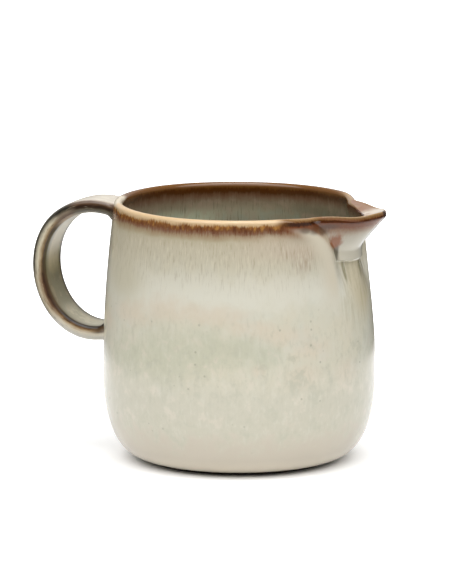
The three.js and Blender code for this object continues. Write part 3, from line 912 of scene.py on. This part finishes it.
studio = {
    "floorHalf": 8.0,
    "paper": "#EDEDED",
    "paperRoughness": 0.9,
    "paperGlow": 0.3,         # added where the camera or the glaze sees the paper, so that it reads white
    "farGlow": 0.6,           # added for the camera alone beyond the paper's edge
    "glowStart": (0.032, 0.04),   # from the axis, so that the contact shadow stays dark
    "paperEdge": (0.19, 0.25),    # from the axis
    "room": "#3A3A3A",        # floor beyond the paper's edge, for every ray but the camera's
    "worldColour": "#FFFFFF",
    "worldStrength": 0.3,
    # place right of, behind and above the jug as the camera sees it, size across and along, watts
    "lamps": {
        "overhead_left": ((-0.42, -0.3, 1.3), (0.8, 2.0), 13.5),
        "overhead_right": ((0.42, -0.3, 1.3), (0.8, 2.0), 13.5),
        "front_fill": ((0.0, -1.1, 1.15), (1.4, 0.7), 6.5),
        "back_panel": ((0.0, 1.5, 0.75), (2.4, 1.0), 3.0),
    },
    "lampAim": 0.05,
}


# White seamless paper, matt: no gloss of its own, a soft contact shadow, and white to the camera and as far
# as its edge in the glaze too
def whitePaper():
    material, tree = startMaterial("white_paper")
    rays = addNode(tree, "LightPath").outputs
    camera = rays["Is Camera Ray"]
    seen = camera
    for ray in ("Is Glossy Ray", "Is Transmission Ray"):
        seen = addNode(tree, "Math", {0: seen, 1: rays[ray]}, operation="MAXIMUM").outputs[0]
    place = addNode(tree, "NewGeometry").outputs["Position"]
    reach = addNode(tree, "VectorMath", {0: place}, operation="LENGTH").outputs["Value"]
    edgeStart, edgeEnd = studio["paperEdge"]
    edge = {0: reach, 1: edgeStart, 2: edgeEnd}
    beyond = addNode(tree, "MapRange", edge).outputs[0]
    onPaper = addNode(tree, "MapRange", {**edge, 3: 1.0, 4: camera}).outputs[0]
    floor = {0: onPaper, 6: linear(studio["room"]), 7: linear(studio["paper"])}
    tone = addNode(tree, "Mix", floor, data_type="RGBA").outputs[2]
    glowStart, glowFull = studio["glowStart"]
    rise = {0: reach, 1: glowStart, 2: glowFull, 4: studio["paperGlow"]}
    clear = addNode(tree, "MapRange", rise).outputs[0]
    near = addNode(tree, "Math", {0: clear, 1: onPaper}, operation="MULTIPLY").outputs[0]
    further = {0: beyond, 1: studio["farGlow"], 2: near}
    far = addNode(tree, "Math", further, operation="MULTIPLY_ADD").outputs[0]
    shown = addNode(tree, "Mix", {0: camera, 2: near, 3: far}).outputs[0]
    glow = addNode(tree, "Math", {0: seen, 1: shown}, operation="MULTIPLY").outputs[0]
    shader = addNode(tree, "BsdfPrincipled", {
        "Base Color": tone, "Roughness": studio["paperRoughness"], "Specular IOR Level": 0.0,
        "Emission Color": linear("#FFFFFF"), "Emission Strength": glow,
    })
    addNode(tree, "OutputMaterial", {"Surface": shader.outputs[0]})
    return material


# Paper under softboxes in a dim room
def buildStudio():
    half = studio["floorHalf"]
    data = bpy.data.meshes.new("paper")
    corners = [(-half, -half, 0.0), (half, -half, 0.0), (half, half, 0.0), (-half, half, 0.0)]
    data.from_pydata(corners, [], [(0, 1, 2, 3)])
    data.materials.append(whitePaper())
    paperSheet = bpy.data.objects.new("paper", data)
    bpy.context.scene.collection.objects.link(paperSheet)

    world = bpy.data.worlds.new("studio")
    world.use_nodes = True
    world.node_tree.nodes.clear()
    sky = addNode(world.node_tree, "Background", {
        "Color": linear(studio["worldColour"]), "Strength": studio["worldStrength"],
    })
    addNode(world.node_tree, "OutputWorld", {"Surface": sky.outputs[0]})
    bpy.context.scene.world = world

    right, behind = viewAxes()
    aim = Vector((0.0, 0.0, studio["lampAim"]))
    for name, (place, size, power) in studio["lamps"].items():
        lamp = bpy.data.lights.new(name, "AREA")
        lamp.shape = "RECTANGLE"
        lamp.size, lamp.size_y = size
        lamp.energy = power
        softbox = bpy.data.objects.new(name, lamp)
        softbox.location = right * place[0] + behind * place[1] + Vector((0.0, 0.0, place[2]))
        softbox.rotation_euler = (aim - softbox.location).to_track_quat("-Z", "Y").to_euler()
        bpy.context.scene.collection.objects.link(softbox)
    bpy.context.scene.view_settings.view_transform = "Standard"
    print("studio set")


def buildCamera():
    right, behind = viewAxes()
    rise = Vector((0.0, 0.0, math.sin(view["elevation"])))
    back = rise - behind * math.cos(view["elevation"])
    up = back.cross(right)
    pivot = Vector((0.0, 0.0, view["pivotMm"]))
    aim = pivot + right * view["aimRightMm"] + up * view["aimUpMm"]
    place = pivot + back * view["distanceMm"]
    lens = bpy.data.cameras.new("camera")
    lens.sensor_fit = "VERTICAL"
    lens.sensor_height = view["sensorMm"]
    lens.lens = view["lensMm"]
    lens.clip_end = view["clipEnd"]
    camera = bpy.data.objects.new("camera", lens)
    camera.location = place * metresPerMm
    camera.rotation_euler = (aim - place).to_track_quat("-Z", "Y").to_euler()
    bpy.context.scene.collection.objects.link(camera)
    bpy.context.scene.camera = camera
    print("camera set")


buildPot(creamGlaze())
buildHandle(handleGlaze())
buildStudio()
buildCamera()

bpy.context.view_layer.update()
